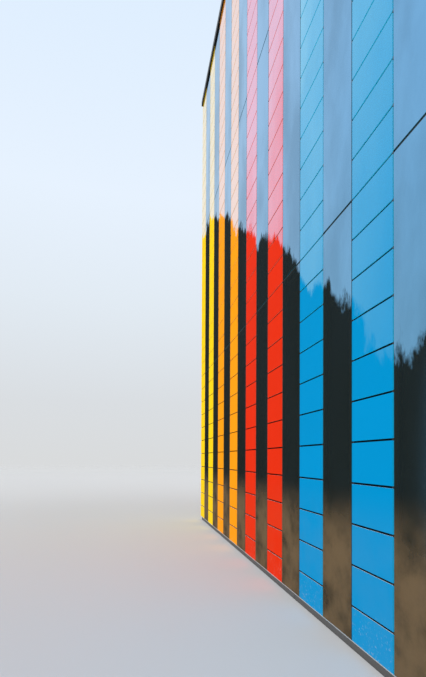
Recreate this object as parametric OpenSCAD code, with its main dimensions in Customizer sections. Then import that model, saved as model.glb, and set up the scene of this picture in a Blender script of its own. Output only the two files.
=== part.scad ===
// School building with a flush face of coloured glass strips and storey-high windows.
// Ground level is z = 0, the origin is the middle of the plan, and the front faces -Y.

/* [Bays] */
// Width of a coloured strip, from joint middle to joint middle
strip_w = 616; // [580:1:660]
// Width of a window bay, from joint middle to joint middle
window_w = 584; // [540:1:620]
// Number of strips along the front and the back
long_strips = 16; // [16:1:20]
// Number of strips along each short side
short_strips = 10; // [9:1:12]

/* [Glass panels] */
// Height from one panel joint to the next
panel_pitch = 340; // [320:1:360]
// Height of the lowest panel
first_panel_h = 282; // [200:1:330]
// Height of the highest panel
last_panel_h = 178; // [120:1:330]
// Open joint between the panels of a strip
panel_joint = 16; // [12:1:20]
// Open joint between strips and window panes
joint_w = 12; // [8:1:16]
// Depth of the open joint
joint_d = 18; // [12:1:20]
// Thickness of a glass panel with its backing board
panel_t = 28; // [24:1:32]
// Width of the upright rails that carry a strip
rail_w = 50; // [40:1:60]
// Distance from the edge of a strip to its rails
rail_inset = 110; // [100:1:140]

/* [Storeys] */
// Height of the plinth up to the cladding
plinth_h = 100; // [90:1:140]
// Panel joints up to the first storey line
ground_joints = 10; // [9:1:11]
// Panels in a full storey
storey_panels = 11; // [10:1:11]
// Height of a floor above its storey line
floor_rise = 78; // [60:1:100]
// Height of the ground floor above ground
ground_floor_z = 120; // [110:1:150]
// Thickness of the upper floors
floor_t = 360; // [300:10:400]
// Thickness of the roof slab
roof_slab_t = 250; // [220:10:300]
// Joint between the window panes of two storeys
storey_joint = 22; // [18:1:26]

/* [Walls] */
// Thickness of the wall piers
wall_t = 300; // [250:10:360]
// Distance from the glass face to the wall face
wall_set = 70; // [66:1:80]
// Thickness of the insulating glass
pane_t = 36; // [30:1:40]
// Width of a window frame's bars
frame_bar = 65; // [50:1:80]
// Overlap of a window frame on the wall
frame_lap = 20; // [15:1:30]
// Thickness of the plinth boards
plinth_t = 40; // [30:1:50]
// Greatest length of a plinth board
board_l = 2500; // [2000:50:3000]

/* [Roof edge] */
// Height of the roof edge trim
trim_h = 125; // [120:5:160]
// Projection of the roof edge trim before the glass
trim_out = 30; // [24:1:40]
// Fall of the trim's top towards the roof
trim_fall = 20; // [10:1:25]
// Greatest length of a piece of roof edge trim or drip edge
trim_l = 3200; // [2500:50:4000]
// Thickness of the parapet
parapet_t = 200; // [180:10:240]
// Height of the parapet above the top of the cladding
parapet_rise = 75; // [60:5:90]
// Thickness of the roof insulation and its covering
covering_t = 160; // [120:5:180]

/* [Entrance] */
// Strip of the back that the entrance takes the foot of, counted from its left end
door_strip = 7; // [3:1:12]
// Panel joints up to the head of the entrance
door_joints = 7; // [7:1:8]
// Width of the bars of the door frame and the leaves
door_bar = 70; // [60:1:90]
// Thickness of a door leaf
leaf_t = 60; // [50:1:70]
// Depth of the lintel over the entrance
lintel_h = 300; // [250:10:320]
// Length of a pull handle
handle_l = 900; // [600:10:1200]
// Radius of a pull handle
handle_r = 16; // [12:1:20]

/* [Hidden] */

bay = strip_w + window_w;
long_l = long_strips * strip_w + (long_strips - 1) * window_w;
short_l = short_strips * strip_w + (short_strips - 1) * window_w;

joint_count = ground_joints + 2 * storey_panels;
face_top = plinth_h + first_panel_h + (joint_count - 1) * panel_pitch + last_panel_h;
line_1 = joint_z(ground_joints);
line_2 = joint_z(ground_joints + storey_panels);
floor_1 = line_1 + floor_rise;
floor_2 = line_2 + floor_rise;
parapet_top = face_top + parapet_rise;
trim_top = face_top + trim_h;
trim_gap = 4;
trim_lip = 20;
trim_inner_drop = 45;
roof_drop = 220;
roof_z = face_top - roof_drop;
mitre_gap = 4;
butt_gap = 4;
board_gap = 6;
corner_step = panel_t + joint_w;
drip_t = 3;
drip_out = 3;
drip_lip = 5;
drip_gap = 2;
plinth_top = plinth_h - drip_gap - drip_t;
seat = 2;
overcut = 1;

door_head = joint_z(door_joints - 1);
door_x = strip_x(door_strip, long_strips) + strip_w / 2;
door_w = strip_w + 2 * window_w;
door_recess = 40;
door_set = wall_set + door_recess;
door_gap = 6;
leaf_l = (door_w - 2 * door_bar - 3 * door_gap) / 2;
leaf_h = door_head - ground_floor_z - door_bar - 2 * door_gap;
glass_t = 24;
sill_set = 4;
handle_off = 60;
handle_inset = 35;
handle_low = 350;
stay_r = 8;

yellow = [1.00, 0.82, 0.00];
orange = [1.00, 0.62, 0.00];
red = [0.95, 0.16, 0.03];
blue = [0.00, 0.58, 0.84];

// Height of a panel joint, counted from 0 at the lowest one
function joint_z(k) = plinth_h + first_panel_h + k * panel_pitch;

// Place where a strip starts along a side of n strips
function strip_x(i, n) = -(n * bay - window_w) / 2 + i * bay;

// Colour pair of a strip: 0 yellow, 1 orange, 2 red, 3 blue, mirrored about the middle
function pair(i, n) = floor(min(i, n - 1 - i) / 2);

// Children are drawn with x along the side, y into the building and z up
module on_front() {
    translate([0, -short_l / 2, 0])
        children();
}

module on_back() {
    translate([0, short_l / 2, 0])
        rotate([0, 0, 180])
            children();
}

module on_left() {
    translate([-long_l / 2, 0, 0])
        rotate([0, 0, -90])
            children();
}

module on_right() {
    translate([long_l / 2, 0, 0])
        rotate([0, 0, 90])
            children();
}

module box(x0, x1, y0, y1, z0, z1) {
    translate([x0, y0, z0])
        cube([x1 - x0, y1 - y0, z1 - z0]);
}

// An outline of depth and height, drawn out along a side from x0 to x1
module along(x0, x1) {
    translate([x0, 0, 0])
        rotate([90, 0, 90])
            linear_extrude(height = x1 - x0)
                children();
}

// The plan of one side of a ring round the building, with mitred ends
module mitred_plan(side_l, y0, y1) {
    half = side_l / 2 - mitre_gap / 2;
    polygon([[y0 - half, y0], [half - y0, y0], [half - y1, y1], [y1 - half, y1]]);
}

module mitred_bar(side_l, y0, y1, z0, z1) {
    translate([0, 0, z0])
        linear_extrude(height = z1 - z0)
            mitred_plan(side_l, y0, y1);
}

// An outline drawn out along a side and cut at 45 degrees at both ends
module mitred_profile(side_l, y0, y1, z0, z1) {
    intersection() {
        along(-side_l / 2 + y0, side_l / 2 - y0)
            children();
        mitred_bar(side_l, y0, y1, z0 - overcut, z1 + overcut);
    }
}

// A long bar or profile cut into equal pieces of at most piece_l, with gaps between them
module in_pieces(side_l, piece_l, gap, y0, y1, z0, z1) {
    n = ceil(side_l / piece_l);
    difference() {
        children();
        for (i = [1 : n - 1]) {
            x = i * side_l / n - side_l / 2;
            box(x - gap / 2, x + gap / 2, y0 - overcut, y1 + overcut, z0 - overcut, z1 + overcut);
        }
    }
}

module slab(z1, thickness) {
    box(-long_l / 2 + wall_set, long_l / 2 - wall_set,
        -short_l / 2 + wall_set, short_l / 2 - wall_set, z1 - thickness, z1);
}

module ground_slab() {
    color("silver")
        slab(ground_floor_z, ground_floor_z);
}

module first_floor() {
    color("silver")
        slab(floor_1, floor_t);
}

module second_floor() {
    color("silver")
        slab(floor_2, floor_t);
}

module roof_slab() {
    color("silver")
        slab(roof_z, roof_slab_t);
}

module roof_covering() {
    inset = wall_set + parapet_t;
    color("dimgray")
        box(-long_l / 2 + inset, long_l / 2 - inset,
            -short_l / 2 + inset, short_l / 2 - inset, roof_z, roof_z + covering_t);
}

module plinth_side(side_l) {
    y0 = wall_set - plinth_t;
    in_pieces(side_l, board_l, board_gap, y0, wall_set, 0, plinth_top)
        mitred_bar(side_l, y0, wall_set, 0, plinth_top);
}

module plinth() {
    color("dimgray") {
        on_front() plinth_side(long_l);
        on_back() plinth_side(long_l);
        on_left() plinth_side(short_l);
        on_right() plinth_side(short_l);
    }
}

// A folded strip that lies on the plinth and turns down before it
module drip_outline() {
    z0 = plinth_top;
    polygon([
        [-drip_out, z0 - drip_lip], [drip_t - drip_out, z0 - drip_lip], [drip_t - drip_out, z0],
        [wall_set, z0], [wall_set, z0 + drip_t], [-drip_out, z0 + drip_t]
    ]);
}

module drip_side(side_l) {
    z0 = plinth_top - drip_lip;
    z1 = plinth_top + drip_t;
    in_pieces(side_l, trim_l, butt_gap, -drip_out, wall_set, z0, z1)
        mitred_profile(side_l, -drip_out, wall_set, z0, z1)
            drip_outline();
}

module drip_edge() {
    color("gainsboro") {
        on_front() drip_side(long_l);
        on_back() drip_side(long_l);
        on_left() drip_side(short_l);
        on_right() drip_side(short_l);
    }
}

module parapet() {
    y1 = wall_set + parapet_t;
    color("silver") {
        on_front() mitred_bar(long_l, wall_set, y1, roof_z, parapet_top);
        on_back() mitred_bar(long_l, wall_set, y1, roof_z, parapet_top);
        on_left() mitred_bar(short_l, wall_set, y1, roof_z, parapet_top);
        on_right() mitred_bar(short_l, wall_set, y1, roof_z, parapet_top);
    }
}

// The cap sits on the parapet, stands out before the glass and falls towards the roof
module trim_outline() {
    y1 = wall_set + parapet_t;
    polygon([
        [-trim_out, face_top + trim_gap], [wall_set, face_top + trim_gap],
        [wall_set, parapet_top], [y1, parapet_top], [y1, parapet_top - trim_inner_drop],
        [y1 + trim_lip, parapet_top - trim_inner_drop], [y1 + trim_lip, trim_top - trim_fall],
        [-trim_out, trim_top]
    ]);
}

module trim_side(side_l) {
    y1 = wall_set + parapet_t + trim_lip;
    in_pieces(side_l, trim_l, butt_gap, -trim_out, y1, face_top, trim_top)
        mitred_profile(side_l, -trim_out, y1, face_top, trim_top)
            trim_outline();
}

module roof_edge_trim() {
    color("black") {
        on_front() trim_side(long_l);
        on_back() trim_side(long_l);
        on_left() trim_side(short_l);
        on_right() trim_side(short_l);
    }
}

// One storey-high pier behind each strip; end_in is where the end piers start
module piers(n, end_in, z0, z1) {
    for (i = [0 : n - 1]) {
        x0 = strip_x(i, n) + (i == 0 ? end_in : 0);
        x1 = strip_x(i, n) + strip_w - (i == n - 1 ? end_in : 0);
        box(x0, x1, wall_set, wall_set + wall_t, z0, z1);
    }
}

module wall(n, end_in) {
    piers(n, end_in, ground_floor_z, floor_1 - floor_t);
    piers(n, end_in, floor_1, floor_2 - floor_t);
    piers(n, end_in, floor_2, roof_z - roof_slab_t);
}

module front_wall() {
    color("lightgray")
        on_front() wall(long_strips, wall_set);
}

module back_wall() {
    color("lightgray")
        difference() {
            on_back() wall(long_strips, wall_set);
            on_back()
                box(door_x - door_w / 2 + overcut, door_x + door_w / 2 - overcut, 0, 2 * wall_t,
                    0, door_head + lintel_h);
        }
}

module left_wall() {
    color("lightgray")
        on_left() wall(short_strips, wall_set + wall_t);
}

module right_wall() {
    color("lightgray")
        on_right() wall(short_strips, wall_set + wall_t);
}

// Bottom and top of the panes of each storey
pane_z = [
    [plinth_h, line_1 - storey_joint / 2],
    [line_1 + storey_joint / 2, line_2 - storey_joint / 2],
    [line_2 + storey_joint / 2, face_top]
];

// Bottom of a ground floor pane over the entrance
over_door_z = door_head + joint_w / 2;

module pane(x, z0, z1) {
    half = (window_w - joint_w) / 2;
    box(x - half, x + half, 0, pane_t, z0, z1);
}

module window_frame(x, z0, z1) {
    half = window_w / 2 + frame_lap;
    difference() {
        box(x - half, x + half, pane_t, wall_set, z0, z1);
        box(x - half + frame_bar, x + half - frame_bar, pane_t - overcut, wall_set + overcut,
            z0 + frame_bar, z1 - frame_bar);
    }
}

// Middle of a window bay, counted from 0 at the left end of a side
function window_x(i, n) = strip_x(i, n) + strip_w + window_w / 2;

// Whether a bay's foot is taken by the entrance, on a side that has one
function door_bay(i, door) = door && (i == door_strip - 1 || i == door_strip);

module panes(n, door = false) {
    for (i = [0 : n - 2])
        for (s = [0 : 2])
            pane(window_x(i, n), s == 0 && door_bay(i, door) ? over_door_z : pane_z[s][0], pane_z[s][1]);
}

module frames(n, door = false) {
    for (i = [0 : n - 2])
        for (s = [0 : 2])
            window_frame(window_x(i, n), s == 0 && door_bay(i, door) ? over_door_z : pane_z[s][0],
                pane_z[s][1]);
}

module front_window_frames() {
    color("dimgray")
        on_front() frames(long_strips);
}

module back_window_frames() {
    color("dimgray")
        on_back() frames(long_strips, true);
}

module left_window_frames() {
    color("dimgray")
        on_left() frames(short_strips);
}

module right_window_frames() {
    color("dimgray")
        on_right() frames(short_strips);
}

module front_windows() {
    color("steelblue", 0.5)
        on_front() panes(long_strips);
}

module back_windows() {
    color("steelblue", 0.5)
        on_back() panes(long_strips, true);
}

module left_windows() {
    color("steelblue", 0.5)
        on_left() panes(short_strips);
}

module right_windows() {
    color("steelblue", 0.5)
        on_right() panes(short_strips);
}

// Outline of a stack of glass panels on one board, with an open joint above each panel
module panel_outline(first_joint, z0) {
    polygon(concat(
        [[panel_t, z0], [0, z0]],
        [for (k = [first_joint : joint_count - 1], p = [
            [0, joint_z(k) - panel_joint / 2], [joint_d, joint_z(k) - panel_joint / 2],
            [joint_d, joint_z(k) + panel_joint / 2], [0, joint_z(k) + panel_joint / 2]
        ]) p],
        [[0, face_top], [panel_t, face_top]]
    ));
}

// A strip of panels with the two rails that carry it on the wall
module strip(x0, x1, first_joint, z0) {
    along(x0, x1)
        panel_outline(first_joint, z0);
    box(x0 + rail_inset, x0 + rail_inset + rail_w, panel_t - seat, wall_set, z0, face_top);
    box(x1 - rail_inset - rail_w, x1 - rail_inset, panel_t - seat, wall_set, z0, face_top);
}

// The strips of one colour pair on a side; end_in is where the end strips start
module strips(n, colour_pair, end_in, door = false) {
    for (i = [0 : n - 1])
        if (pair(i, n) == colour_pair) {
            over = door && i == door_strip;
            strip(
                strip_x(i, n) + (i == 0 ? end_in : joint_w / 2),
                strip_x(i, n) + strip_w - (i == n - 1 ? end_in : joint_w / 2),
                over ? door_joints : 0,
                over ? over_door_z : plinth_h
            );
        }
}

module front_yellow_strips() {
    color(yellow)
        on_front() strips(long_strips, 0, 0);
}

module front_orange_strips() {
    color(orange)
        on_front() strips(long_strips, 1, 0);
}

module front_red_strips() {
    color(red)
        on_front() strips(long_strips, 2, 0);
}

module front_blue_strips() {
    color(blue)
        on_front() strips(long_strips, 3, 0);
}

module back_yellow_strips() {
    color(yellow)
        on_back() strips(long_strips, 0, 0);
}

module back_orange_strips() {
    color(orange)
        on_back() strips(long_strips, 1, 0);
}

module back_red_strips() {
    color(red)
        on_back() strips(long_strips, 2, 0);
}

module back_blue_strips() {
    color(blue)
        on_back() strips(long_strips, 3, 0, true);
}

module left_yellow_strips() {
    color(yellow)
        on_left() strips(short_strips, 0, corner_step);
}

module left_orange_strips() {
    color(orange)
        on_left() strips(short_strips, 1, corner_step);
}

module left_red_strips() {
    color(red)
        on_left() strips(short_strips, 2, corner_step);
}

module right_yellow_strips() {
    color(yellow)
        on_right() strips(short_strips, 0, corner_step);
}

module right_orange_strips() {
    color(orange)
        on_right() strips(short_strips, 1, corner_step);
}

module right_red_strips() {
    color(red)
        on_right() strips(short_strips, 2, corner_step);
}

// The beam between the two piers beside the entrance
module entrance_lintel() {
    color("lightgray")
        on_back()
            box(door_x - door_w / 2, door_x + door_w / 2, wall_set, wall_set + wall_t,
                door_head, door_head + lintel_h);
}

// Head and jambs between the piers, under the lintel
module entrance_frame() {
    half = door_w / 2;
    color("dimgray")
        on_back()
            translate([door_x, 0, 0])
                difference() {
                    box(-half, half, door_set, door_set + leaf_t, ground_floor_z, door_head);
                    box(-half + door_bar, half - door_bar,
                        door_set - overcut, door_set + leaf_t + overcut,
                        ground_floor_z - overcut, door_head - door_bar);
                }
}

// One leaf stands left of x = 0 and the other is its mirror image
module leaf() {
    difference() {
        box(-leaf_l, 0, door_set, door_set + leaf_t, 0, leaf_h);
        box(door_bar - leaf_l, -door_bar, door_set - overcut, door_set + leaf_t + overcut,
            2 * door_bar, leaf_h - door_bar);
    }
}

module leaf_glass() {
    y0 = door_set + (leaf_t - glass_t) / 2;
    box(door_bar - leaf_l, -door_bar, y0, y0 + glass_t, 2 * door_bar, leaf_h - door_bar);
}

// A round pull bar on two short stays, before the meeting edge of a leaf
module handle() {
    y = door_set - handle_off;
    translate([-handle_inset, y, handle_low])
        cylinder(r = handle_r, h = handle_l, $fn = 32);
    for (z = [handle_low + 100, handle_low + handle_l - 100])
        translate([-handle_inset, y, z])
            rotate([-90, 0, 0])
                cylinder(r = stay_r, h = handle_off, $fn = 24);
}

module at_leaves() {
    for (side = [0, 1])
        on_back()
            translate([door_x, 0, ground_floor_z + door_gap])
                mirror([side, 0, 0])
                    translate([-door_gap / 2, 0, 0])
                        children();
}

module entrance_doors() {
    color("dimgray")
        at_leaves() leaf();
}

module entrance_glass() {
    color("steelblue", 0.5)
        at_leaves() leaf_glass();
}

module entrance_handles() {
    color("silver")
        at_leaves() handle();
}

// The sill lies on the plinth, level with the floor inside
module entrance_threshold() {
    half = door_w / 2 - joint_w / 2;
    color("silver")
        on_back()
            box(door_x - half, door_x + half, sill_set, wall_set, plinth_top + drip_t, ground_floor_z);
}

ground_slab();
first_floor();
second_floor();
roof_slab();
roof_covering();
plinth();
drip_edge();
parapet();
roof_edge_trim();
front_wall();
back_wall();
left_wall();
right_wall();
front_window_frames();
back_window_frames();
left_window_frames();
right_window_frames();
front_windows();
back_windows();
left_windows();
right_windows();
front_yellow_strips();
front_orange_strips();
front_red_strips();
front_blue_strips();
back_yellow_strips();
back_orange_strips();
back_red_strips();
back_blue_strips();
left_yellow_strips();
left_orange_strips();
left_red_strips();
right_yellow_strips();
right_orange_strips();
right_red_strips();
entrance_lintel();
entrance_frame();
entrance_doors();
entrance_glass();
entrance_handles();
entrance_threshold();
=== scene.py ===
import bpy
import bmesh
import math
from mathutils import Matrix, Vector


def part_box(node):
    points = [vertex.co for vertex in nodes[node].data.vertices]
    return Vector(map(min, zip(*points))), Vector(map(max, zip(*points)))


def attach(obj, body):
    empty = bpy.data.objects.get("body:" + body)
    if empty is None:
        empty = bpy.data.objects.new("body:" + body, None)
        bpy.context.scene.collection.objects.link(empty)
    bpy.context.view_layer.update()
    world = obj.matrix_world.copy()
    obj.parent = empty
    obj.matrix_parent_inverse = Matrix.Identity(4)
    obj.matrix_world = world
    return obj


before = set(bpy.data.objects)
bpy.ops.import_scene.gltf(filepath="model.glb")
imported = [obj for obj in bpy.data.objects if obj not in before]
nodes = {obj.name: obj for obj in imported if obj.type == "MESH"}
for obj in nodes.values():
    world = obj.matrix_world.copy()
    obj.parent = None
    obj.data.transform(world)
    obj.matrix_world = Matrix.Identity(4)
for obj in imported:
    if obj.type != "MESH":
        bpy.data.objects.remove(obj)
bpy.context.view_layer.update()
print("frame loaded:", len(nodes), "nodes")

# outer faces of the glass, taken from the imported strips
faceLow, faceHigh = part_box("front_yellow_strips")
halfLength = faceHigh.x
halfDepth = -faceLow.y
faceBottom = faceLow.z
faceTop = faceHigh.z

# the grid of the glass face, in metres
grid = {
    "strip": 0.616,
    "window": 0.584,
    "pitch": 0.340,
    "firstPanel": 0.282,
    "joint": 0.012,         # between strips and window panes
    "panelJoint": 0.016,    # between the panels of a strip
    "jointDepth": 0.018,
    "joints": 32,           # in each strip
    "storeyLines": (10, 21),
    "storeyJoint": 0.022,
    "paneThickness": 0.036,
    "wallSet": 0.070,       # from the face back to the wall
    "skin": 0.0006,         # what lies deeper behind the face than this is a cut edge
}
bay = grid["strip"] + grid["window"]
firstJoint = faceBottom + grid["firstPanel"]
storeyLines = [firstJoint + k * grid["pitch"] for k in grid["storeyLines"]]


# a socket that can be used in sums
class Value:
    def __init__(self, maker, socket):
        self.maker = maker
        self.socket = socket

    def math(self, operation, first, second):
        return self.maker.node("ShaderNodeMath", {"operation": operation}, {0: first, 1: second})

    def __add__(self, other):
        return self.math("ADD", self, other)

    def __radd__(self, other):
        return self.math("ADD", other, self)

    def __sub__(self, other):
        return self.math("SUBTRACT", self, other)

    def __rsub__(self, other):
        return self.math("SUBTRACT", other, self)

    def __mul__(self, other):
        return self.math("MULTIPLY", self, other)

    def __rmul__(self, other):
        return self.math("MULTIPLY", other, self)

    def __truediv__(self, other):
        return self.math("DIVIDE", self, other)

    def __gt__(self, other):
        return self.math("GREATER_THAN", self, other)

    def __lt__(self, other):
        return self.math("LESS_THAN", self, other)

    def __abs__(self):
        return self.math("ABSOLUTE", self, 0.0)

    def __floor__(self):
        return self.math("FLOOR", self, 0.0)

    def least(self, other):
        return self.math("MINIMUM", self, other)

    def most(self, other):
        return self.math("MAXIMUM", self, other)

    # 0 below low, 1 above high, smooth between
    def rise(self, low, high):
        return self.maker.node(
            "ShaderNodeMapRange",
            {"interpolation_type": "SMOOTHSTEP"},
            {"Value": self, "From Min": low, "From Max": high, "To Min": 0.0, "To Max": 1.0},
        )


# adds nodes to one tree; node() wires a node's inputs and hands back one of its outputs
class NodeMaker:
    def __init__(self, tree, endKind):
        self.tree = tree
        self.tree.nodes.clear()
        self.end = self.tree.nodes.new(endKind)

    def node(self, kind, settings=None, sockets=None, out=0):
        made = self.tree.nodes.new(kind)
        for key, setting in (settings or {}).items():
            if key == "stops":
                ramp = made.color_ramp
                while len(ramp.elements) < len(setting):
                    ramp.elements.new(0.5)
                for element, (place, colour) in zip(ramp.elements, setting):
                    element.position = place
                    element.color = (*colour, 1.0)
            else:
                setattr(made, key, setting)
        for key, given in (sockets or {}).items():
            if isinstance(given, Value):
                self.tree.links.new(given.socket, made.inputs[key])
            elif made.inputs[key].type == "RGBA":
                made.inputs[key].default_value = (*given, 1.0)
            else:
                made.inputs[key].default_value = given
        return Value(self, made.outputs[out])

    def parts(self, vector):
        return [self.node("ShaderNodeSeparateXYZ", {}, {0: vector}, out=axis) for axis in "XYZ"]

    def mixShaders(self, share, first, second):
        return self.node("ShaderNodeMixShader", {}, {0: share, 1: first, 2: second})

    def finish(self, surface):
        self.tree.links.new(surface.socket, self.end.inputs["Surface"])


class MaterialMaker(NodeMaker):
    def __init__(self, name):
        self.material = bpy.data.materials.new(name)
        self.material.use_nodes = True
        super().__init__(self.material.node_tree, "ShaderNodeOutputMaterial")

    def place(self):
        return self.node("ShaderNodeTexCoord", out="Object")

    def noise(self, where, scale, detail=3.0, roughness=0.5, seed=0.0):
        return self.node(
            "ShaderNodeTexNoise", {"noise_dimensions": "4D"},
            {"Vector": where, "W": seed, "Scale": scale, "Detail": detail, "Roughness": roughness},
        )

    def stretch(self, where, scale):
        return self.node("ShaderNodeVectorMath", {"operation": "MULTIPLY"}, {0: where, 1: scale})

    # three random numbers for each cell of a grid
    def perCell(self, x, y, z):
        cell = self.node("ShaderNodeCombineXYZ", {}, {0: x, 1: y, 2: z})
        luck = self.node("ShaderNodeTexWhiteNoise", {"noise_dimensions": "3D"}, {"Vector": cell}, out="Color")
        return self.parts(luck)

    def mix(self, share, first, second):
        return self.node(
            "ShaderNodeMix", {"data_type": "RGBA", "clamp_result": True}, {0: share, 6: first, 7: second}, 2
        )

    def tint(self, colour, brightness):
        return self.node("ShaderNodeVectorMath", {"operation": "SCALE"}, {0: colour, "Scale": brightness})

    def bump(self, height):
        return self.node("ShaderNodeBump", {}, {"Height": height, "Strength": 1.0, "Distance": 1.0})

    def principled(self, **sockets):
        names = {
            "base": "Base Color", "rough": "Roughness", "metal": "Metallic", "normal": "Normal",
            "shine": "Specular IOR Level", "glow": "Emission Color", "glowStrength": "Emission Strength",
        }
        given = {names[key]: value for key, value in sockets.items()}
        return self.node("ShaderNodeBsdfPrincipled", {}, given)

    def finish(self, surface):
        super().finish(surface)
        return self.material


# depth behind the nearest outer glass face, 0 on the face itself
def depthBehindFace(x, y):
    return (halfLength - abs(x)).least(halfDepth - abs(y))


def dress(names, material):
    for name in names:
        nodes[name].data.materials.clear()
        nodes[name].data.materials.append(material)


# on the left part of the front the glass carries a painted reflection: seen along the face it mirrors
# brightly above an uneven line and dully below it, a painted dark reflection; all other glass is evenly clean
dustAndPaintedReflection = {
    "line": (7.4, 2.0),          # heights of the line at the left end and at the middle
    "lineFall": (-8.8, 1.8),     # it falls from here to here
    "lineEnd": (0.4, 2.4),       # the line with its painted reflection, and the extra dust, fade out from here to here
    "ragged": 1.4,               # how far the ragged edge of the painted reflection lifts or lowers the line, at most
    "raggedStretch": (1.0, 1.0, 0.45),    # the ragged spots are long in z
    "raggedNoise": (0.5, 8.0, 0.70, 11.0),    # scale, detail, roughness and seed
    "softness": 0.07,
    "marks": 0.26,               # what broad water marks take from the mirror
    "markNoise": (1.1, 6.0, 0.58, 2.0),
    "markRise": (0.36, 0.66),
    "elsewhere": 0.45,           # how far all other glass lies from the dull towards the bright mirror
    "slant": (0.37, 0.45),       # the view along the face sets in from here to here, as 1 less the cosine
    "film": (0.34, 0.22, 0.11),
    "filmRoughness": 0.9,
    "filmShare": (0.10, 0.40),   # seen from straight ahead, and along the face
    "filmHeight": (0.8, 1.4),    # it thins out from here to here
    "filmNoise": (2.2, 6.0, 0.62),
    "filmRise": (0.20, 0.60),
}


# 0 seen from straight ahead, 1 seen along the face
def slantOf(make, bump):
    facing = make.node("ShaderNodeLayerWeight", {}, {"Blend": 0.5, "Normal": bump}, out="Facing")
    return facing.rise(*dustAndPaintedReflection["slant"])


# 1 on the outer layer of the left part of the front, where the painted reflection and the extra dust lie, 0
# elsewhere
def dustAndPaintedReflectionPart(x, y):
    return (y < grid["wallSet"] - halfDepth) * (1.0 - x.rise(*dustAndPaintedReflection["lineEnd"]))


# from straight ahead all glass mirrors alike; along the face the mirror is painted: weak below the line, a
# painted dark reflection, and strong above it
def gloss(make, where, slant, ahead, along):
    x, y, z = make.parts(where)
    high, low = dustAndPaintedReflection["line"]
    raggedStretch = make.stretch(where, dustAndPaintedReflection["raggedStretch"])
    ragged = make.noise(raggedStretch, *dustAndPaintedReflection["raggedNoise"]) - 0.5
    line = high + (low - high) * x.rise(*dustAndPaintedReflection["lineFall"]) + ragged * (2 * dustAndPaintedReflection["ragged"])
    # painted reflection: along the face the glass mirrors brightly above this ragged line and dully below it
    paintedReflectionMask = (z - line).rise(-dustAndPaintedReflection["softness"], dustAndPaintedReflection["softness"]) - dustAndPaintedReflection["elsewhere"]
    paintedReflectionMask = paintedReflectionMask * dustAndPaintedReflectionPart(x, y) + dustAndPaintedReflection["elsewhere"]
    marks = make.noise(raggedStretch, *dustAndPaintedReflection["markNoise"]).rise(*dustAndPaintedReflection["markRise"])
    belowPaintedLine, abovePaintedLine = along
    seenAlong = (belowPaintedLine + (abovePaintedLine - belowPaintedLine) * paintedReflectionMask) * (1.0 - dustAndPaintedReflection["marks"] * marks)
    return ahead * (1.0 - slant) + seenAlong * slant


# share of the glass that the dust film covers
def filmed(make, where, slant):
    x, y, z = make.parts(where)
    ahead, along = dustAndPaintedReflection["filmShare"]
    patches = make.noise(where, *dustAndPaintedReflection["filmNoise"]).rise(*dustAndPaintedReflection["filmRise"])
    seen = ahead + (along - ahead) * slant * dustAndPaintedReflectionPart(x, y)
    return patches * (1.0 - z.rise(*dustAndPaintedReflection["filmHeight"])) * seen


def underFilm(make, share, body):
    film = make.principled(base=dustAndPaintedReflection["film"], rough=dustAndPaintedReflection["filmRoughness"], shine=0.0)
    return make.mixShaders(share, body, film)


noGlow = (0.0, 0.0, 0.0)

# enamelled glass on a board painted near black as the shade in the joints; the cut edges get painted light: a
# painted highlight on the upper ones, a painted glow on the others
glassPanels = {
    "enamel": {
        "yellow": (1.0, 0.64, 0.001),
        "orange": (1.0, 0.34, 0.001),
        "red": (0.77, 0.028, 0.003),
        "blue": (0.001, 0.275, 0.58),
    },
    # painted glow: the cut edges get a bright colour and emission, standing in for light that runs in the
    # glass
    "cutEdge": {
        "yellow": (1.0, 0.80, 0.12),
        "orange": (1.0, 0.52, 0.10),
        "red": (1.0, 0.16, 0.10),
        "blue": (0.02, 0.62, 0.95),
    },
    # colour that the enamel lends to what the glass over it mirrors
    "mirror": {
        "yellow": (0.97, 0.98, 1.0),
        "orange": (0.97, 0.98, 1.0),
        "red": (1.0, 0.80, 1.0),
        "blue": (0.52, 0.95, 1.0),
    },
    "paintedArrisHighlight": (0.86, 0.90, 0.92),    # painted highlight on the upper cut edges, as if they caught the light from above
    "arrisDepth": 0.005,
    "arrisSkin": 0.0008,
    "edgeGlow": 0.22,
    # painted shade: the board seen in the joints is near black, standing for their shade
    "board": (0.008, 0.009, 0.010),
    "boardRoughness": 0.7,
    "glassThickness": 0.008,
    "glassIndex": 1.52,
    "glassRoughness": 0.014,
    "glossAhead": 0.7,            # share of the full mirror seen from straight ahead
    "glossAlong": (0.06, 2.8),    # and seen along the face, below and above the line of the painted reflection
    "printed": 0.05,              # what the print behind the glass takes from the mirror
    "mostMirror": 0.68,
    "tilt": 0.0020,      # slope of the most tilted panel
    "wave": 0.00005,     # height of the roller waves in the glass
    "waveLength": 0.28,
    "shade": 0.05,       # panels differ by up to this share
    "mottle": 0.04,
    "mottleNoise": (1.3, 2.0),
    # dried splashes on the lowest panels
    "footPatches": (0.72, 0.70, 0.66),
    "splashHeight": 0.42,
    "splashShare": 0.27,
    "splashRoughness": 0.10,
    "splashNoise": (46.0, 4.0, 0.65),
    "splashRise": (0.56, 0.70),
    "filmShare": 0.12,   # the film shows less on the panels than on the dark panes
}


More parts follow.
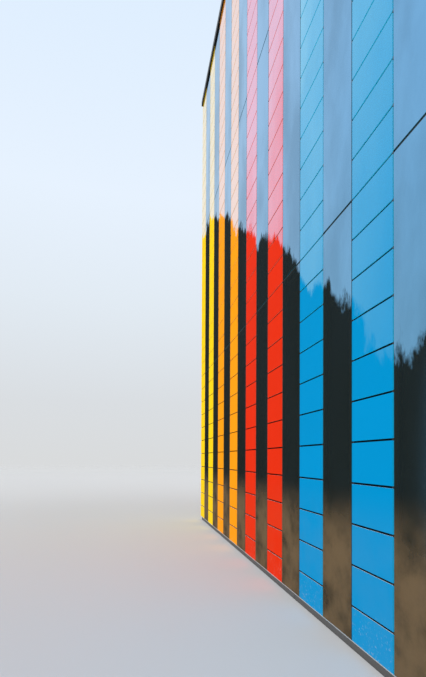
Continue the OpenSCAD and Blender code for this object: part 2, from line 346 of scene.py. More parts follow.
def panelMaterial(colour):
    make = MaterialMaker("enamelled_glass_" + colour)
    where = make.place()
    x, y, z = make.parts(where)
    depth = depthBehindFace(x, y)
    stripX = math.floor((x + halfLength) / bay)
    stripY = math.floor((y + halfDepth) / bay)
    panel = math.floor((z - firstJoint) / grid["pitch"])
    luckX, luckY, luckZ = make.perCell(stripX, stripY, panel)
    u = x - (stripX * bay + (grid["strip"] / 2 - halfLength))
    v = y - (stripY * bay + (grid["strip"] / 2 - halfDepth))
    w = z - (panel + 0.5) * grid["pitch"] - firstJoint
    mottle = 0.5 - make.noise(where, *glassPanels["mottleNoise"])
    shade = (1.0 - glassPanels["shade"] * luckX) * (1.0 + glassPanels["mottle"] * mottle)
    drops = make.noise(where, *glassPanels["splashNoise"]).rise(*glassPanels["splashRise"])
    footPatches = drops * (1.0 - z.rise(faceBottom, faceBottom + glassPanels["splashHeight"]))
    enamel = make.tint(glassPanels["enamel"][colour], shade)
    enamel = make.mix(footPatches * glassPanels["splashShare"], enamel, glassPanels["footPatches"])
    # painted highlight: the upper cut edges are pale near the face, as if lit from above
    upper = w > (grid["pitch"] - grid["panelJoint"]) / 2 - glassPanels["arrisSkin"]
    top = make.mix(depth > glassPanels["arrisDepth"], glassPanels["paintedArrisHighlight"], glassPanels["board"])
    rim = make.mix(upper, glassPanels["cutEdge"][colour], top)
    edge = depth > grid["skin"]
    behind = depth > glassPanels["glassThickness"]
    # painted shade: behind the glass the board is near black, for the shade in the joints
    body = make.mix(behind, make.mix(edge, enamel, rim), glassPanels["board"])
    # each panel hangs a little out of true, and the glass is faintly waved
    lean = (luckY - 0.5) * (u + v) + (luckZ - 0.5) * w
    turns = z * (2 * math.pi / glassPanels["waveLength"])
    roller = make.node("ShaderNodeMath", {"operation": "SINE"}, {0: turns})
    bump = make.bump(lean * glassPanels["tilt"] * 2 + roller * glassPanels["wave"])
    slant = slantOf(make, bump)
    # painted glow on the side and lower cut edges
    paintedEdgeGlow = make.mix(edge * (1.0 - behind) * (1.0 - upper), noGlow, glassPanels["cutEdge"][colour])
    under = make.principled(
        base=body, rough=glassPanels["boardRoughness"], shine=0.0,
        glow=paintedEdgeGlow, glowStrength=glassPanels["edgeGlow"],
    )
    film = filmed(make, where, slant) * (glassPanels["filmShare"] * (1.0 - edge))
    mirror = make.principled(
        base=glassPanels["mirror"][colour], metal=1.0, normal=bump,
        rough=glassPanels["glassRoughness"] + glassPanels["splashRoughness"] * footPatches,
    )
    fresnel = make.node("ShaderNodeFresnel", {}, {"IOR": glassPanels["glassIndex"], "Normal": bump})
    shine = gloss(make, where, slant, glassPanels["glossAhead"], glassPanels["glossAlong"])
    share = ((fresnel - glassPanels["printed"]) * shine).least(glassPanels["mostMirror"]) * (1.0 - behind)
    return make.finish(make.mixShaders(share, underFilm(make, film, under), mirror))


for colour in glassPanels["enamel"]:
    dress([name for name in nodes if name.endswith(colour + "_strips")], panelMaterial(colour))
print("coloured strips dressed")

# solar control glass: mirrors a good part of the light and lets a little through
windowGlass = {
    "seeThrough": (0.62, 0.70, 0.71),
    "lostAlong": 0.8,               # share of the light from inside that is lost along the face
    "mirror": (0.20, 0.48, 0.73),
    "mirrorAhead": 0.20,            # share that is mirrored, seen from straight ahead
    "mirrorAlong": (0.03, 0.95),    # and seen along the face, below and above the line of the painted reflection
    "mirrorRoughness": 0.010,
    "lostAtEdge": 0.8,              # what the cut edges take from the mirror
    "border": (0.010, 0.011, 0.006),
    "borderRoughness": 0.6,
    "borderWidth": 0.040,
    "borderSoftness": 0.001,
    "tilt": 0.0024,
    "bulge": 0.0020,
    "bulgeShape": (1.6, 0.25),      # across the pane and up it
    "leastBulge": 0.3,
    # painted glow: colour and emission of the glass sheets' cut edges
    "cutEdge": (0.02, 0.15, 0.19),
    "edgeGlow": 0.10,
    "spacer": (0.012, 0.013, 0.014),
    "sheetThickness": 0.009,
}


def windowMaterial():
    make = MaterialMaker("solar_control_glass")
    where = make.place()
    x, y, z = make.parts(where)
    depth = depthBehindFace(x, y)
    middle = grid["strip"] + grid["window"] / 2
    bayX = math.floor((x + halfLength) / bay)
    bayY = math.floor((y + halfDepth) / bay)
    aboveFirst = z > storeyLines[0]
    aboveSecond = z > storeyLines[1]
    onLong = (halfDepth - abs(y)) < grid["wallSet"]
    u = x - (bayX * bay + (middle - halfLength))
    v = y - (bayY * bay + (middle - halfDepth))
    across = u * onLong + v * (1.0 - onLong)
    storeyHeight = storeyLines[1] - storeyLines[0]
    foot = faceBottom + aboveFirst * (storeyLines[0] - faceBottom) + aboveSecond * storeyHeight
    head = storeyLines[0] + aboveFirst * storeyHeight + aboveSecond * (faceTop - storeyLines[1])
    rim = ((grid["window"] - grid["joint"]) / 2 - abs(across)).least((z - foot).least(head - z))
    width, softness = windowGlass["borderWidth"], windowGlass["borderSoftness"]
    border = 1.0 - rim.rise(width - softness, width + softness)
    luckX, luckY, luckZ = make.perCell(bayX, bayY, aboveFirst + aboveSecond)
    pane = z - (foot + head) * 0.5
    lean = (luckX - 0.5) * across + (luckY - 0.5) * pane
    sideways, upwards = windowGlass["bulgeShape"]
    bulge = (across * across * sideways + pane * pane * upwards) * (luckZ + windowGlass["leastBulge"])
    bump = make.bump(lean * windowGlass["tilt"] * 2 - bulge * windowGlass["bulge"])
    through = make.node("ShaderNodeBsdfTransparent", {}, {"Color": windowGlass["seeThrough"]})
    # the cut edge shows two sheets of glass with a dark spacer between; the sheets' edges get a painted glow
    edge = (depth > grid["skin"]) * (depth < grid["paneThickness"] - grid["skin"])
    halfPane = grid["paneThickness"] / 2
    sheet = abs(depth - halfPane) > halfPane - windowGlass["sheetThickness"]
    rimColour = make.mix(sheet, windowGlass["spacer"], windowGlass["cutEdge"])
    dark = make.principled(
        base=make.mix(edge, windowGlass["border"], rimColour), rough=windowGlass["borderRoughness"],
        shine=0.0, glow=make.mix(edge * sheet, noGlow, windowGlass["cutEdge"]),
        glowStrength=windowGlass["edgeGlow"],
    )
    slant = slantOf(make, bump)
    closed = border.most(edge).most(slant * windowGlass["lostAlong"])
    body = underFilm(make, filmed(make, where, slant), make.mixShaders(closed, through, dark))
    mirror = make.principled(
        base=windowGlass["mirror"], metal=1.0, rough=windowGlass["mirrorRoughness"], normal=bump
    )
    share = gloss(make, where, slant, windowGlass["mirrorAhead"], windowGlass["mirrorAlong"])
    share = share * (1.0 - windowGlass["lostAtEdge"] * edge)
    return make.finish(make.mixShaders(share, body, mirror))


paneGlass = windowMaterial()
dress([name for name in nodes if name.endswith("_windows")] + ["entrance_glass"], paneGlass)
print("windows dressed")


# powder coat, and bitumen, which is as even
paint = {
    "black": (0.006, 0.006, 0.007),
    "grey": (0.030, 0.033, 0.037),
    "bitumen": (0.012, 0.012, 0.013),
    "grainDetail": 2.0,
    "grainHeight": 0.00004,
    "patchNoise": (0.8, 4.0),
    "shade": 0.2,       # by how much the patches differ in brightness
    "uneven": 0.12,     # and in roughness
}


def paintedMetal(name, colour, roughness, grain=900.0, shine=0.5):
    make = MaterialMaker(name)
    where = make.place()
    fine = make.noise(where, grain, paint["grainDetail"])
    patches = make.noise(where, *paint["patchNoise"]) - 0.5
    surface = make.principled(
        base=make.tint(colour, 1.0 + paint["shade"] * patches), rough=roughness + paint["uneven"] * patches,
        shine=shine, normal=make.bump(fine * paint["grainHeight"]),
    )
    return make.finish(surface)


cast = {
    "slab": (0.52, 0.52, 0.50),
    "wall": (0.70, 0.69, 0.66),
    "sheet": (0.008, 0.008, 0.009),    # black sheet on the outer face, behind the glass
    "sheetThickness": 0.001,
    "mottleNoise": (0.9, 6.0, 0.6),
    "poreNoise": (60.0, 3.0, 0.7),
    "poreDepth": 0.0008,
    "shade": (0.82, 0.22, 0.12),       # least brightness, and what mottle and pores add to it
    "roughness": 0.85,
}


def concreteMaterial(name, colour):
    make = MaterialMaker(name)
    where = make.place()
    x, y = make.parts(where)[:2]
    mottle = make.noise(where, *cast["mottleNoise"])
    pores = make.noise(where, *cast["poreNoise"])
    least, byMottle, byPores = cast["shade"]
    bare = make.tint(colour, least + byMottle * mottle + byPores * pores)
    covered = depthBehindFace(x, y) < grid["wallSet"] + cast["sheetThickness"]
    surface = make.principled(
        base=make.mix(covered, bare, cast["sheet"]), rough=cast["roughness"],
        normal=make.bump(pores * cast["poreDepth"]),
    )
    return make.finish(surface)


anodised = {
    "colour": (0.80, 0.81, 0.82),
    "brushed": (2.0, 2.0, 400.0),
    "noise": (2.0, 3.0),
    "shade": (0.92, 0.14),        # least brightness, and what the brush marks add to it
    "roughness": (0.32, 0.10),
}


def anodisedMaterial():
    make = MaterialMaker("pale_anodised_metal")
    marks = make.noise(make.stretch(make.place(), anodised["brushed"]), *anodised["noise"])
    least, added = anodised["shade"]
    smooth, rougher = anodised["roughness"]
    surface = make.principled(
        base=make.tint(anodised["colour"], least + added * marks), metal=1.0, rough=smooth + rougher * marks
    )
    return make.finish(surface)


steel = {
    "colour": (0.60, 0.60, 0.59),
    "brushed": (900.0, 900.0, 12.0),
    "noise": (1.0, 3.0),
    "roughness": (0.22, 0.16),
}


def steelMaterial():
    make = MaterialMaker("brushed_steel")
    marks = make.noise(make.stretch(make.place(), steel["brushed"]), *steel["noise"])
    smooth, rougher = steel["roughness"]
    return make.finish(make.principled(base=steel["colour"], metal=1.0, rough=smooth + rougher * marks))


rubber = {
    "colour": (0.012, 0.012, 0.013),
    "bloomNoise": (30.0, 4.0, 0.6),
    "shade": (0.8, 0.5),
    "roughness": 0.62,
}


def rubberMaterial():
    make = MaterialMaker("black_rubber")
    bloom = make.noise(make.place(), *rubber["bloomNoise"])
    least, added = rubber["shade"]
    colour = make.tint(rubber["colour"], least + added * bloom)
    return make.finish(make.principled(base=colour, rough=rubber["roughness"]))


plinth = {
    "colour": (0.082, 0.081, 0.080),
    "gritNoise": (220.0, 3.0, 0.7),
    "gritHeight": 0.0006,
    "shade": (0.75, 0.3),
    "footDarkening": 0.3,            # how much darker the foot is, in patches
    "footDarkHeight": 0.05,
    "footDarkStretch": (3.0, 3.0, 1.0),
    "footDarkNoise": (2.0, 4.0),
    "roughness": 0.8,
}


def plinthMaterial():
    make = MaterialMaker("plinth_board")
    where = make.place()
    grit = make.noise(where, *plinth["gritNoise"])
    footPatches = make.noise(make.stretch(where, plinth["footDarkStretch"]), *plinth["footDarkNoise"])
    # darker towards the bottom, in patches
    footDarkening = 1.0 - make.parts(where)[2].rise(0.0, plinth["footDarkHeight"])
    least, added = plinth["shade"]
    shade = (least + added * grit) * (1.0 - plinth["footDarkening"] * footDarkening * footPatches)
    surface = make.principled(
        base=make.tint(plinth["colour"], shade), rough=plinth["roughness"],
        normal=make.bump(grit * plinth["gritHeight"]),
    )
    return make.finish(surface)


blackMetal = paintedMetal("black_powder_coat", paint["black"], roughness=0.50, shine=0.15)
brushedSteel = steelMaterial()
greyMetal = paintedMetal("dark_grey_powder_coat", paint["grey"], roughness=0.45)
paleMetal = anodisedMaterial()
blackRubber = rubberMaterial()
concrete = concreteMaterial("cast_concrete", cast["slab"])
wallFinish = concreteMaterial("float_finished_wall", cast["wall"])
dress(["roof_edge_trim"], blackMetal)
dress([name for name in nodes if name.endswith("_window_frames")], greyMetal)
dress(["entrance_frame", "entrance_doors"], greyMetal)
dress(["drip_edge"], paleMetal)
dress(["entrance_handles"], brushedSteel)
dress(["ground_slab", "first_floor", "second_floor", "roof_slab", "entrance_threshold"], concrete)
dress(["parapet", "entrance_lintel"] + [name for name in nodes if name.endswith("_wall")], wallFinish)
dress(["plinth"], plinthMaterial())
print("materials made")

# the four sides; on each, x runs along the side, y into the building and z up
sides = {
    "front": (halfLength, Matrix.Translation((0, -halfDepth, 0))),
    "back": (halfLength, Matrix.Translation((0, halfDepth, 0)) @ Matrix.Rotation(math.pi, 4, "Z")),
    "left": (halfDepth, Matrix.Translation((-halfLength, 0, 0)) @ Matrix.Rotation(-math.pi / 2, 4, "Z")),
    "right": (halfDepth, Matrix.Translation((halfLength, 0, 0)) @ Matrix.Rotation(math.pi / 2, 4, "Z")),
}

# the opening at the back, in that side's own x, y and z
frameLow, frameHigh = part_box("entrance_frame")
doorway = {
    "left": -frameHigh.x,
    "right": -frameLow.x,
    "head": frameHigh.z,
    "floor": frameLow.z,
    "spare": 0.02,    # what lies this far outside it is cleared too
}


def inDoorway(x, z):
    spare = doorway["spare"]
    return doorway["left"] - spare < x < doorway["right"] + spare and z < doorway["head"] + spare


def allOf(bm):
    return bm.verts[:] + bm.edges[:] + bm.faces[:]


def vertsOf(parts):
    return [part for part in parts if isinstance(part, bmesh.types.BMVert)]


# repeats all that bm holds, so that there are count of it, each a step further
def repeat(bm, step, count):
    if count > 1:
        bmesh.ops.spin(
            bm, geom=allOf(bm), cent=(0, 0, 0), axis=(0, 0, 1), dvec=step, angle=0.0,
            steps=count - 1, use_duplicate=True,
        )


def block(bm, low, high):
    low, high = Vector(low), Vector(high)
    verts = bmesh.ops.create_cube(bm, size=1.0)["verts"]
    bmesh.ops.scale(bm, vec=high - low, verts=verts)
    bmesh.ops.translate(bm, vec=(low + high) / 2, verts=verts)


# a round bar between two points
def bar(bm, start, end, radius, segments=10):
    start, end = Vector(start), Vector(end)
    place = Matrix.Translation(start) @ (end - start).to_track_quat("Z", "Y").to_matrix().to_4x4()
    made = bmesh.ops.create_circle(bm, cap_ends=True, segments=segments, radius=radius, matrix=place)
    grown = bmesh.ops.extrude_face_region(bm, geom=[made["verts"][0].link_faces[0]])["geom"]
    bmesh.ops.translate(bm, vec=end - start, verts=vertsOf(grown))


def makePiece(name, bm, material, place=None, smooth=False):
    if place:
        bm.transform(place)
    bmesh.ops.recalc_face_normals(bm, faces=bm.faces)
    mesh = bpy.data.meshes.new(name)
    bm.to_mesh(mesh)
    bm.free()
    mesh.materials.append(material)
    if smooth:
        mesh.shade_smooth()
    piece = bpy.data.objects.new(name, mesh)
    bpy.context.scene.collection.objects.link(piece)
    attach(piece, "root")


# black blocks in the joint ends, which keep the panels apart and off the panes
spacers = {
    "length": 0.022,
    "front": 0.005,
    "headFront": 0.0005,
    "headDepth": 0.020,
    "headHeight": 0.018,
    "chamfer": 0.0012,
}


def makeSpacers(name, half, place):
    gap = grid["joint"] / 2
    slot = grid["panelJoint"] / 2
    head = spacers["headHeight"] / 2
    near, far = spacers["headFront"], spacers["headFront"] + spacers["headDepth"]
    bm = bmesh.new()
    # one at the right end of a strip and one at the left end of the next
    for x, way in ((grid["strip"] - half, -1), (bay - half, 1)):
        ends = sorted((x - way * gap, x + way * (gap + spacers["length"])))
        block(
            bm, (ends[0], spacers["front"], firstJoint - slot),
            (ends[1], grid["jointDepth"], firstJoint + slot),
        )
        block(bm, (x - gap, near, firstJoint - head), (x + gap, far, firstJoint + head))
    bmesh.ops.bevel(
        bm, geom=bm.edges[:], offset=spacers["chamfer"], offset_type="OFFSET", segments=1, profile=0.5,
        affect="EDGES", material=-1,
    )
    repeat(bm, (0, 0, grid["pitch"]), grid["joints"])
    repeat(bm, (bay, 0, 0), math.floor(2 * half / bay))
    if name == "back":
        gone = [vert for vert in bm.verts if inDoorway(vert.co.x, vert.co.z)]
        bmesh.ops.delete(bm, geom=gone, context="VERTS")
    makePiece(name + "_spacers", bm, blackMetal, place)


# rubber beads between panes and panels, and two lips along each storey line
gaskets = {"depth": 0.026, "lipRadius": 0.0058, "lipDepth": 0.014}


def makeGaskets(name, half, place):
    gap = grid["joint"] / 2
    bm = bmesh.new()
    for i in range(math.floor(2 * half / bay)):
        left = grid["strip"] - half + i * bay
        right = left + grid["window"]
        for x in (left, right):
            foot = doorway["head"] + gap if name == "back" and inDoorway(x, faceBottom) else faceBottom
            bar(bm, (x, gaskets["depth"], foot), (x, gaskets["depth"], faceTop), gap)
        for line in storeyLines:
            for lift in (-1, 1):
                z = line + lift * (grid["storeyJoint"] / 2 - gaskets["lipRadius"])
                y = gaskets["lipDepth"]
                bar(bm, (left + gap, y, z), (right - gap, y, z), gaskets["lipRadius"])
    makePiece(name + "_gaskets", bm, blackRubber, place, smooth=True)


for name, (half, place) in sides.items():
    makeSpacers(name, half, place)
    makeGaskets(name, half, place)
print("spacers and gaskets made")

# mineral sheets on the flat roof, laid along its length and lapped like shingles
roofLow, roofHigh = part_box("roof_covering")
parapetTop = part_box("parapet")[1].z
roof = {
    "z": roofHigh.z,
    "rollWidth": 1.0,
    "rollLength": 7.5,
    "lap": 0.09,
    "lapSlope": 0.03,
    "thickness": 0.005,
    "rowLift": 0.0004,    # every second row lies higher by this
    "shifts": 3,          # ends of the rolls come back after this many rows
    "seam": 0.007,        # half width of the bead that is pressed out of a lap
    "seamSides": 6,
    "upstandDrop": 0.052,    # from the parapet's top
    "upstandOut": 0.004,
    "cant": 0.05,         # size of the slope at the upstand's foot
    "flashing": 0.22,     # width of the flashing on the roof
    "colour": (0.20, 0.21, 0.22),
    "gritNoise": (350.0, 2.0, 0.7),
    "gritHeight": 0.001,
    "stainNoise": (0.45, 5.0, 0.6),
    "shade": (0.72, 0.30, 0.26),    # least brightness, and what grit and stains add to it
    "perRoll": 0.16,                # how much the rolls differ
    # marks of dried rain
    "driedNoise": (0.22, 3.0, 0.5),
    "driedRise": (0.56, 0.60),
    "driedShade": 0.10,
    "driedGloss": 0.12,
    "roughness": 0.92,
}
rollAcross = roof["rollWidth"] - roof["lap"]
rollAlong = roof["rollLength"] - roof["lap"]


def roofMaterial():
    make = MaterialMaker("mineral_sheet")
    where = make.place()
    x, y = make.parts(where)[:2]
    grit = make.noise(where, *roof["gritNoise"])
    stain = make.noise(where, *roof["stainNoise"])
    dried = make.noise(where, *roof["driedNoise"]).rise(*roof["driedRise"])
    # each roll has its own tone, so rows and rolls are counted as makeSheets lays them
    row = math.floor((y - roofLow.y) / rollAcross)
    shift = row - math.floor((row + 0.5) / roof["shifts"]) * roof["shifts"]
    roll = math.floor((x - roofLow.x) / rollAlong + shift / roof["shifts"])
    luck = make.perCell(row, roll, 1.0)[0]
    least, byGrit, byStain = roof["shade"]
    shade = (least + byGrit * grit + byStain * stain) * (1.0 - roof["perRoll"] * luck)
    surface = make.principled(
        base=make.tint(roof["colour"], shade * (1.0 - roof["driedShade"] * dried)),
        rough=roof["roughness"] - roof["driedGloss"] * dried, normal=make.bump(grit * roof["gritHeight"]),
    )
    return make.finish(surface)


def sheet(bm, low, high, lift):
    # the near and the left edge lie on the sheets before
    made = bmesh.ops.create_grid(bm, x_segments=3, y_segments=3, size=0.5)["verts"]
    steps = [0.0, roof["lap"], roof["lap"] + roof["lapSlope"]]
    columns = [low.x + step for step in steps] + [high.x]
    rows = [low.y + step for step in steps] + [high.y]
    for vert in made:
        column = round((vert.co.x + 0.5) * 3)
        row = round((vert.co.y + 0.5) * 3)
        raised = (column < 2 and low.x > roofLow.x) + (row < 2 and low.y > roofLow.y)
        vert.co = (columns[column], rows[row], roof["z"] + lift + roof["thickness"] * (1 + raised))
    faces = {face for vert in made for face in vert.link_faces}
    under = bmesh.ops.extrude_face_region(bm, geom=list(faces))["geom"]
    bmesh.ops.translate(bm, vec=(0, 0, -roof["thickness"]), verts=vertsOf(under))


def makeSheets():
    bm = bmesh.new()
    seams = bmesh.new()
    bead = roof["z"] + roof["thickness"]
    row = 0
    y = roofLow.y
    while y < roofHigh.y - roof["lap"]:
        top = min(y + roof["rollWidth"], roofHigh.y)
        x = roofLow.x - (row % roof["shifts"]) * rollAlong / roof["shifts"]
        while x < roofHigh.x - roof["lap"]:
            left = max(x, roofLow.x)
            right = min(x + roof["rollLength"], roofHigh.x)
            sheet(bm, Vector((left, y)), Vector((right, top)), roof["rowLift"] * (row % 2))
            if x > roofLow.x:
                bar(seams, (left, y, bead), (left, top, bead), roof["seam"], roof["seamSides"])
            x += rollAlong
        if row:
            bar(seams, (roofLow.x, y, bead), (roofHigh.x, y, bead), roof["seam"], roof["seamSides"])
        y += rollAcross
        row += 1
    makePiece("roof_sheets", bm, roofFinish)
    makePiece("roof_seams", seams, bitumen, smooth=True)


# a loop round the roof, carried from one place of its profile to the next
def makeUpstand():
    bm = bmesh.new()
    low = roof["z"] + 2 * roof["thickness"]
    top = low + roof["thickness"]
    high = parapetTop - roof["upstandDrop"]
    out = roof["upstandOut"]
    profile = [
        (roof["flashing"], low), (roof["flashing"], top), (roof["cant"], top), (out, top + roof["cant"]),
        (out, high), (0.0, high), (0.0, low),
    ]
    size = (roofHigh - roofLow) / 2
    middle = (roofHigh + roofLow) / 2
    square = Matrix.Rotation(math.pi / 4, 4, "Z")
    verts = bmesh.ops.create_circle(bm, segments=4, radius=math.sqrt(2), matrix=square)["verts"]
    loops = []
    for inset, height in profile:
        if loops:
            grown = bmesh.ops.extrude_edge_only(bm, edges=loops[-1])["geom"]
            verts = vertsOf(grown)
            loops.append([part for part in grown if isinstance(part, bmesh.types.BMEdge)])
        else:
            loops.append(bm.edges[:])
        for vert in verts:
            wayX = math.copysign(size.x - inset, vert.co.x - (middle.x if len(loops) > 1 else 0))
            wayY = math.copysign(size.y - inset, vert.co.y - (middle.y if len(loops) > 1 else 0))
            vert.co = (middle.x + wayX, middle.y + wayY, height)
    bmesh.ops.bridge_loops(bm, edges=loops[0] + loops[-1])
    makePiece("roof_upstand", bm, roofFinish)


# a flange, and a dome of ribs that keeps the drain open
outlet = {
    "radius": 0.085,
    "height": 0.12,
    # profile of the flange, as places outside the radius and heights
    "flange": [(0.105, 0.0), (0.105, 0.003), (0.030, 0.006), (0.012, 0.016), (0.0, 0.016), (0.0, 0.0)],
    "flangeSteps": 40,
    "ribs": 16,
    "ribHalf": 0.003,           # half the width of a rib
    "post": (0.010, 0.002),     # its sides lie this far inside the radius
    "postFoot": 0.010,
    "postTop": 0.5,             # share of the height
    "spokeStart": 0.022,
    "spokeEnd": 0.6,            # share of the radius
    "spokeThickness": 0.008,
    "capRadius": 0.028,
    "capUnder": 0.010,          # how far the cap reaches under and over the ribs
    "capOver": 0.004,
    "along": 0.25,              # share of the roof's length, from each end
    "inwards": 1.6,             # metres from the back parapet
}


def makeOutlets():
    bm = bmesh.new()
    radius = outlet["radius"]
    height = outlet["height"]
    half = outlet["ribHalf"]
    points = [bm.verts.new((radius + x, 0, z)) for x, z in outlet["flange"]]
    lines = [bm.edges.new(pair) for pair in zip(points, points[1:])]
    bmesh.ops.spin(
        bm, geom=points + lines, cent=(0, 0, 0), axis=(0, 0, 1), angle=2 * math.pi,
        steps=outlet["flangeSteps"], use_merge=True,
    )
    dome = bmesh.new()
    inner, outer = outlet["post"]
    postTop = outlet["postTop"] * height
    block(dome, (radius - inner, -half, outlet["postFoot"]), (radius - outer, half, postTop))
    block(
        dome, (outlet["spokeStart"], -half, height - outlet["spokeThickness"]),
        (outlet["spokeEnd"] * radius, half, height),
    )
    # a slanting arm joins the post to the spoke
    post = max(dome.faces[:6], key=lambda face: face.calc_center_median().z)
    spoke = max(dome.faces[6:], key=lambda face: face.calc_center_median().x)
    bmesh.ops.bridge_loops(dome, edges=post.edges[:] + spoke.edges[:])
    bmesh.ops.delete(dome, geom=[post, spoke], context="FACES_ONLY")
    count = outlet["ribs"]
    bmesh.ops.spin(
        dome, geom=allOf(dome), cent=(0, 0, 0), axis=(0, 0, 1), angle=2 * math.pi * (count - 1) / count,
        steps=count - 1, use_duplicate=True,
    )
    low, high = height - outlet["capUnder"], height + outlet["capOver"]
    bar(dome, (0, 0, low), (0, 0, high), outlet["capRadius"], segments=24)
    ribs = bpy.data.meshes.new("ribs")
    dome.to_mesh(ribs)
    dome.free()
    bm.from_mesh(ribs)
    bpy.data.meshes.remove(ribs)
    spread = 1 - 2 * outlet["along"]
    place = (roofLow.x * spread, roofHigh.y - outlet["inwards"], roof["z"] + 2 * roof["thickness"])
    bmesh.ops.translate(bm, vec=place, verts=bm.verts)
    repeat(bm, (2 * roofHigh.x * spread, 0, 0), 2)
    makePiece("roof_outlets", bm, greyMetal)


roofFinish = roofMaterial()
bitumen = paintedMetal("bitumen_bead", paint["bitumen"], roughness=0.38, grain=200.0)
dress(["roof_covering"], roofFinish)
makeSheets()
makeUpstand()
makeOutlets()
print("roof made")

# glazing beads, hinges and locks of the two leaves at the back
leafLow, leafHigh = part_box("entrance_doors")
glassLow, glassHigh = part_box("entrance_glass")
entrance = {
    "middle": (doorway["left"] + doorway["right"]) / 2,
    "face": halfDepth - leafHigh.y,
    "glassFace": halfDepth - glassHigh.y,
    "gasket": 0.008,
    "hingeRadius": 0.010,
    "hingeLength": 0.12,
    "hingeHeights": (0.20, 1.05, 1.90),
    "hingeOut": 0.4,      # share of the radius, from the leaf's face to the pin
    "knuckles": 3,
    "knuckleGap": 0.001,  # half the gap between them
    "meeting": 0.003,     # half the gap between the leaves
    "lockHeight": 1.05,
    "lockIn": 0.035,
    "roseRadius": 0.026,
    "roseDepth": 0.006,
    # the lock's barrel is round above and flat below
    "barrelRadius": 0.0085,
    "barrelLift": 0.005,
    "flatHalf": 0.005,
    "flatHeights": (-0.016, 0.004),
}


# a flat ring in the x, z plane between two depths
def ring(bm, x0, x1, z0, z1, width, near, far):
    turn = Matrix.Rotation(math.pi / 2, 4, "X")
    verts = bmesh.ops.create_grid(bm, x_segments=1, y_segments=1, size=0.5, matrix=turn)["verts"]
    bmesh.ops.scale(bm, vec=(x1 - x0, 1, z1 - z0), verts=verts)
    bmesh.ops.translate(bm, vec=((x0 + x1) / 2, near, (z0 + z1) / 2), verts=verts)
    face = verts[0].link_faces[0]
    around = bmesh.ops.inset_individual(bm, faces=[face], thickness=width, use_even_offset=True)["faces"]
    bmesh.ops.delete(bm, geom=[face], context="FACES")
    grown = bmesh.ops.extrude_face_region(bm, geom=around)["geom"]
    bmesh.ops.translate(bm, vec=(0, far - near, 0), verts=vertsOf(grown))


def makeEntrance():
    beads = bmesh.new()
    hinges = bmesh.new()
    locks = bmesh.new()
    middle = entrance["middle"]
    half = (glassHigh.x - glassLow.x) / 2
    inner = (leafHigh.x - leafLow.x) / 2 - half + entrance["meeting"]
    for side in (-1, 1):
        ends = sorted((middle + side * inner, middle + side * half))
        ring(beads, ends[0], ends[1], glassLow.z, glassHigh.z, entrance["gasket"],
             entrance["glassFace"] - entrance["gasket"], entrance["glassFace"])
        x = middle + side * (leafHigh.x - leafLow.x) / 2
        y = entrance["face"] - entrance["hingeOut"] * entrance["hingeRadius"]
        step = entrance["hingeLength"] / entrance["knuckles"]
        for height in entrance["hingeHeights"]:
            for part in range(entrance["knuckles"]):
                low = doorway["floor"] + height + part * step + entrance["knuckleGap"]
                high = low + step - 2 * entrance["knuckleGap"]
                bar(hinges, (x, y, low), (x, y, high), entrance["hingeRadius"], segments=16)
    x = middle + entrance["lockIn"]
    z = doorway["floor"] + entrance["lockHeight"]
    roseFace = entrance["face"] - entrance["roseDepth"]
    barrelFace = roseFace - entrance["roseDepth"]
    top = z + entrance["barrelLift"]
    flat = entrance["flatHalf"]
    low, high = entrance["flatHeights"]
    bar(locks, (x, entrance["face"], z), (x, roseFace, z), entrance["roseRadius"], segments=32)
    bar(locks, (x, roseFace, top), (x, barrelFace, top), entrance["barrelRadius"], segments=20)
    block(locks, (x - flat, barrelFace, z + low), (x + flat, roseFace, z + high))
    place = sides["back"][1]
    makePiece("entrance_beads", beads, blackRubber, place)
    makePiece("entrance_hinges", hinges, brushedSteel, place)
    makePiece("entrance_lock", locks, brushedSteel, place)


makeEntrance()
print("entrance made")


# floor, backdrop and light
studio = {
    "floor": (0.68, 0.69, 0.70),
    "floorRoughness": 0.9,
    "floorRadius": 150.0,
    "floorFade": (22.0, 120.0),     # from here to here the floor melts into the backdrop
    # colour of the backdrop by the sine of its height: lowest stop at straight down, 0.5 at the horizon
    "backdrop": [
        (0.0, (0.695, 0.71, 0.72)),
        (0.5, (0.695, 0.71, 0.72)),
        (0.56, (0.70, 0.73, 0.76)),
        (0.66, (0.76, 0.83, 0.90)),
        (0.75, (0.80, 0.89, 1.0)),
        (1.0, (0.66, 0.82, 1.0)),
    ],
    "worldLight": (0.95, 0.97, 1.0),
    "worldStrength": 0.50,
    "key": {"energy": 2.5, "angle": 16.0, "turn": (60.0, 0.0, -30.0)},
    "fill": {"energy": 1.1, "angle": 60.0, "turn": (60.0, 0.0, 140.0)},
}


def makeFloor():
    bm = bmesh.new()
    bmesh.ops.create_circle(bm, cap_ends=True, segments=96, radius=studio["floorRadius"])
    mesh = bpy.data.meshes.new("floor")
    bm.to_mesh(mesh)
    bm.free()
    floor = bpy.data.objects.new("floor", mesh)
    bpy.context.scene.collection.objects.link(floor)
    make = MaterialMaker("floor_paint")
    away = make.node("ShaderNodeVectorMath", {"operation": "LENGTH"}, {0: make.place()}, out="Value")
    matt = make.principled(base=studio["floor"], rough=studio["floorRoughness"], shine=0.0)
    gone = make.node("ShaderNodeBsdfTransparent")
    mesh.materials.append(make.finish(make.mixShaders(away.rise(*studio["floorFade"]), matt, gone)))


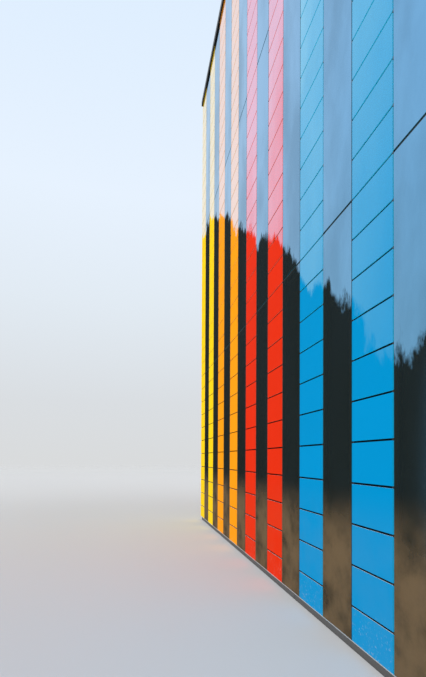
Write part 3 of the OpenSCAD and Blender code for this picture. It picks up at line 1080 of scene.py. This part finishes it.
def makeWorld():
    world = bpy.data.worlds.new("studio")
    world.use_nodes = True
    bpy.context.scene.world = world
    make = NodeMaker(world.node_tree, "ShaderNodeOutputWorld")
    up = make.parts(make.node("ShaderNodeTexCoord", out="Generated"))[2]
    colour = make.node("ShaderNodeValToRGB", {"stops": studio["backdrop"]}, {"Fac": up * 0.5 + 0.5})
    seen = make.node("ShaderNodeBackground", {}, {"Color": colour, "Strength": 1.0})
    light = make.node(
        "ShaderNodeBackground", {}, {"Color": studio["worldLight"], "Strength": studio["worldStrength"]}
    )
    rays = ("Is Camera Ray", "Is Glossy Ray", "Is Transmission Ray")
    camera, glossy, through = [make.node("ShaderNodeLightPath", out=kind) for kind in rays]
    make.finish(make.mixShaders(camera.most(glossy).most(through), light, seen))


def makeSun(name):
    lamp = bpy.data.lights.new(name, "SUN")
    lamp.energy = studio[name]["energy"]
    lamp.angle = math.radians(studio[name]["angle"])
    sun = bpy.data.objects.new(name, lamp)
    sun.rotation_euler = [math.radians(angle) for angle in studio[name]["turn"]]
    bpy.context.scene.collection.objects.link(sun)


makeFloor()
makeWorld()
makeSun("key")
makeSun("fill")

# stands close to the front and looks along it to the far corner
view = {
    "fromCorner": 11.9305,
    "beforeFace": 1.8111,
    "eyeHeight": 1.5951,
    "turn": 10.1484,
    "rise": 0.8747,
    "roll": 0.2829,
    "lens": 24.115,
    "sensor": 36.0,
    "shift": 0.16795,
    "clipEnd": 1000.0,
}


def makeCamera():
    turn, rise, roll = [math.radians(view[key]) for key in ("turn", "rise", "roll")]
    ahead = Vector((-math.cos(turn) * math.cos(rise), math.sin(turn) * math.cos(rise), math.sin(rise)))
    level = ahead.cross(Vector((0, 0, 1))).normalized()
    over = level.cross(ahead)
    right = level * math.cos(roll) + over * math.sin(roll)
    up = over * math.cos(roll) - level * math.sin(roll)
    data = bpy.data.cameras.new("camera")
    data.lens = view["lens"]
    data.sensor_width = view["sensor"]
    data.shift_y = view["shift"]
    data.clip_end = view["clipEnd"]
    camera = bpy.data.objects.new("camera", data)
    pose = Matrix((right, up, -ahead)).transposed().to_4x4()
    pose.translation = (view["fromCorner"] - halfLength, -halfDepth - view["beforeFace"], view["eyeHeight"])
    camera.matrix_world = pose
    bpy.context.scene.collection.objects.link(camera)
    bpy.context.scene.camera = camera


makeCamera()
bpy.context.scene.view_settings.view_transform = "Standard"
print("studio and camera ready")
